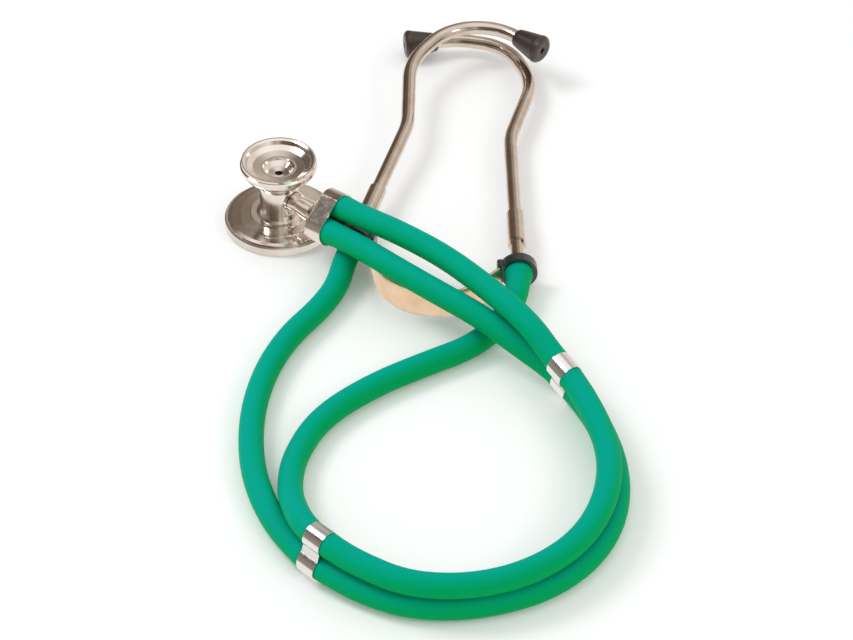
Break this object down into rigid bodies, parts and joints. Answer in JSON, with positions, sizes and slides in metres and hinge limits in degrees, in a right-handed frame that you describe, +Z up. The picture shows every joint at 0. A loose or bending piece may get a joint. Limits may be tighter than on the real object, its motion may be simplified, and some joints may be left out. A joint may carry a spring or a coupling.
{
  "type": "stethoscope",
  "caption": "Twin-hose stethoscope with a turning bell and diaphragm chestpiece, sprung ear tubes and ear tips, laid flat with its hoses in a loop.",
  "frame": {"origin": "centre of the diaphragm's face, on the table", "axes": "+Z up, out through the bell; +Y from the chestpiece towards the ear tips; +X towards the right-hand ear tube"},
  "size_m": [0.1566, 0.3508, 0.0315],
  "materials": {
    "chromed_brass": "polished chromium plate",
    "diaphragm_film": "thin stiff film",
    "spring_steel": "satin",
    "ball_steel": "polished",
    "seal_rubber": "matt",
    "hose_pvc": "soft, slightly glossy",
    "chromed_tube": "polished chromium plate",
    "clip_metal": "bright nickel plate",
    "collar_plastic": "black gloss",
    "ear_tip_plastic": "semi-gloss",
    "insert_metal": "turned"
  },
  "bodies": {
    "hoses": {"left_hose": "hose_pvc", "right_hose": "hose_pvc", "upper_clip": "clip_metal", "lower_clip": "clip_metal", "y_block": "chromed_brass", "left_hose_nipple": "chromed_brass", "right_hose_nipple": "chromed_brass", "valve_spindle": "chromed_brass", "spindle_seal": "seal_rubber", "spindle_circlip": "spring_steel", "leaf_spring": "spring_steel", "left_hose_collar": "collar_plastic"},
    "chest_head": {"chestpiece_body": "chromed_brass", "bell": "chromed_brass", "diaphragm_housing": "chromed_brass", "diaphragm_ring": "chromed_brass", "diaphragm": "diaphragm_film", "detent_ball": "ball_steel", "detent_spring": "spring_steel"},
    "right_arm": {"right_hose_collar": "collar_plastic"},
    "left_tube": {"left_ear_tube": "chromed_tube", "left_tube_sleeve": "chromed_tube", "left_tip_insert": "insert_metal", "left_ear_tip": "ear_tip_plastic"},
    "right_tube": {"right_ear_tube": "chromed_tube", "right_tube_sleeve": "chromed_tube", "right_tip_insert": "insert_metal", "right_ear_tip": "ear_tip_plastic"}
  },
  "joints": [
    {"name": "chest_turn", "type": "hinge", "parent": "hoses", "child": "chest_head", "pos_m": [0, 0, 0.015], "axis": [0.7169, -0.6972, 0], "continuous": true},
    {"name": "headset_spread", "type": "hinge", "parent": "hoses", "child": "right_arm", "pos_m": [0.0629, -0.048, 0.0064], "axis": [0, 0, 1], "range_deg": [-60, 0], "stiffness_Nm_per_rad": 1.9, "deforming": ["leaf_spring", "right_hose"]},
    {"name": "left_tube_turn", "type": "hinge", "parent": "hoses", "child": "left_tube", "pos_m": [0.03127, -0.01788, 0.00782], "axis": [0.2884, 0.9551, 0.068], "range_deg": [-25, 0]},
    {"name": "right_tube_turn", "type": "hinge", "parent": "right_arm", "child": "right_tube", "pos_m": [0.09502, -0.02627, 0.00742], "axis": [-0.0209, 0.9998, -0.0079], "range_deg": [-25, 0]}
  ]
}
